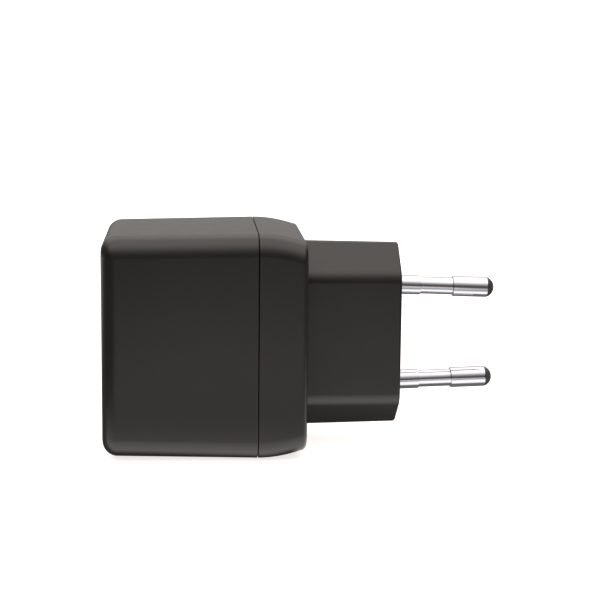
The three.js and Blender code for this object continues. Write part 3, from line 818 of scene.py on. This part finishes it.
def rating_plate():
    """A thin plate with round corners, which follows the slope of the housing's underside."""
    low, high = node_box("rating_label")
    thick, rim, corner = 0.12, 0.06, 1.5
    drop = high.z - low.z - thick
    mid_x = (high.x + low.x) / 2
    skin = Skin()
    rings = []
    for inset, z in ((rim, 0.0), (0.0, -0.03), (0.0, -0.09), (rim, -thick)):
        half_x, half_y = (high.x - low.x) / 2 - inset, (high.y - low.y) / 2 - inset
        ring = []
        for _, y, x in round_rect(0, half_y, half_x, corner - inset, 8):
            share = (x + half_x) / (2 * half_x)
            ring.append((mid_x + x, y, high.z - drop * share + z))
        rings.append(skin.ring(ring))
    skin.closed_run(rings)
    return make("rating_plate", skin, LABEL_FILM, replaces=["rating_label"])


front_shell()
rear_cover()
for pin_label, pin_side in (("live", 1), ("neutral", -1)):
    pin(pin_label, pin_side)
for port_label, port_side in (("upper", 1), ("lower", -1)):
    port_shell(port_label, port_side * PORT_Z)
    port_tongue(port_label, port_side * PORT_Z)
    port_contacts(port_label, port_side * PORT_Z)
rating_plate()


# ---------------------------------------------------------------- the inside, on the CAD's meshes

CARRIED = {
    "main_board": BOARD_MASK, "usb_board": BOARD_MASK,
    "mains_contact_live": SPRING_BRONZE, "mains_contact_neutral": SPRING_BRONZE,
    "bulk_capacitor_a": BULK_SLEEVE, "bulk_capacitor_b": BULK_SLEEVE,
    "output_capacitor_a": OUTPUT_SLEEVE, "output_capacitor_b": OUTPUT_SLEEVE,
    "transformer_bobbin": BOBBIN, "transformer_winding": TAPE,
    "transformer_core_near": FERRITE, "transformer_core_far": FERRITE,
    "bridge_rectifier": CHIP, "controller_chip": CHIP, "rectifier_chip": CHIP,
    "fuse_resistor": FUSE, "filter_choke": CHOKE, "safety_capacitor": SAFETY, "insulation_film": FILM,
}
for node, material in CARRIED.items():
    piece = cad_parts[node]
    piece.data.materials.clear()
    piece.data.materials.append(material)
    if node != "fuse_resistor":  # rounding its edges would leave its mesh open
        joined = piece.modifiers.new("joined_corners", "WELD")
        joined.merge_threshold = 0.001 * MM
        soften(piece, 0.08)


# ---------------------------------------------------------------- stage, light and camera

def studio_floor():
    """White paper, and a glow on it that only the object's reflections show.

    The glow is made of patches. Each ends softly, between two places in metres along X or Y. Two of them make
    a painted shadow: the glow drops away under the housing and under the neck. Away from the camera the paper
    itself is dark, a painted shade that shows in the reflections and in the light the paper bounces.
    """
    mesh = bpy.data.meshes.new("floor")
    work = bmesh.new()
    bmesh.ops.create_grid(work, x_segments=2, y_segments=2, size=4.0)
    work.to_mesh(mesh)
    work.free()
    floor = bpy.data.objects.new("floor", mesh)
    floor.location.z = CAD_BOX[0].z - 0.02 * MM
    bpy.context.scene.collection.objects.link(floor)
    paper = bpy.data.materials.new("floor_paper")
    graph = Graph(paper)
    lit = graph.nodes["Principled BSDF"]
    lit.inputs["Roughness"].default_value = 0.9
    lit.inputs["Specular IOR Level"].default_value = 0.1
    lit.inputs["Emission Color"].default_value = (1.0, 0.96, 0.93, 1)
    x, y, _ = graph.parts(graph.coordinates("Object"))

    def rise(value, start, end):
        return graph.soft_step(value, start, end)

    def fall(value, start, end, low=0.0):
        return graph.soft_step(value, start, end, 1.0, low)

    wide = graph.times(rise(x, -0.095, -0.062), fall(x, 0.020, 0.070))
    # painted shadow: these masks cut the glow under the housing and under the neck, where the object would
    # shade the paper
    painted_shadow_housing, painted_shadow_neck = fall(y, -0.0162, -0.0140), fall(y, -0.0110, -0.0040, 0.03)
    shaded = graph.mix(rise(x, -0.0215, -0.0175), painted_shadow_housing, painted_shadow_neck)
    near = graph.times(rise(y, -0.047, -0.012), shaded)
    far = graph.times(rise(y, -0.280, -0.120), fall(y, -0.070, -0.030))
    back = graph.times(rise(y, 0.035, 0.090), fall(y, 0.250, 0.500))
    glow = 0.08
    for patch, level in ((graph.times(wide, near), 1.75), (graph.times(wide, far), 0.75), (back, 0.80)):
        glow = graph.calculate("MULTIPLY_ADD", patch, level, glow)
    seen = graph.nodes.new("ShaderNodeLightPath").outputs["Is Camera Ray"]
    # the camera sees white paper; every other ray sees it near black (0.07), a painted shade
    graph.feed(lit.inputs["Base Color"], graph.soft_step(seen, 0.0, 1.0, 0.07, 0.8))
    graph.feed(lit.inputs["Emission Strength"], graph.mix(seen, glow, 0.80))
    mesh.materials.append(paper)


SKY_LEVELS = (  # degrees from the camera's side over the top to the far side, and brightness
    (0, 0.02), (20, 0.10), (35, 0.30), (50, 0.62), (65, 0.92), (80, 0.98),
    (96, 0.72), (118, 0.86), (132, 0.76), (150, 0.34), (180, 0.21),
)


def studio_world():
    """Soft light from above and behind, and a dark room on the camera's side."""
    world = bpy.data.worlds.new("studio")
    bpy.context.scene.world = world
    graph = Graph(world)
    background = graph.nodes["Background"]
    x, y, z = graph.parts(graph.coordinates("Generated"))
    height = graph.calculate("ARCTAN2", z, graph.times(y, -1.0))
    stops = [(degrees / 180, (level, level, level)) for degrees, level in SKY_LEVELS]
    arch = graph.ramp(graph.times(height, 1 / math.pi), stops)
    aside = graph.calculate("MULTIPLY_ADD", z, -0.3, graph.calculate("ABSOLUTE", x))
    dome = graph.times(arch, graph.soft_step(aside, 0.25, 0.80, 2.35, 0.16))
    seen = graph.nodes.new("ShaderNodeLightPath").outputs["Is Camera Ray"]
    graph.feed(background.inputs["Strength"], graph.mix(seen, dome, 1.03))
    warm, white = (1.0, 0.93, 0.88, 1), (1, 1, 1, 1)
    graph.feed(background.inputs["Color"], graph.mix(seen, warm, white, colour=True))


def camera():
    """A long lens, close to level. The shift puts the object where the photograph has it."""
    lens = bpy.data.cameras.new("camera")
    lens.lens = 85
    lens.sensor_width = 36
    lens.shift_x, lens.shift_y = 0.08, -0.10
    lens.clip_start = 0.01
    lens.clip_end = 20
    eye = bpy.data.objects.new("camera", lens)
    pitch, yaw, roll = (math.radians(degrees) for degrees in (8.26, 2.63, 0.27))
    ahead = Vector((math.sin(yaw) * math.cos(pitch), math.cos(yaw) * math.cos(pitch), -math.sin(pitch)))
    turn = ahead.to_track_quat("-Z", "Y").to_matrix() @ Matrix.Rotation(roll, 3, "Z")
    eye.rotation_euler = turn.to_euler()
    eye.location = Vector((-40.9, -271.1, 57.7)) * MM
    bpy.context.scene.collection.objects.link(eye)
    bpy.context.scene.camera = eye
    bpy.context.scene.view_settings.view_transform = "Standard"


studio_floor()
studio_world()
camera()
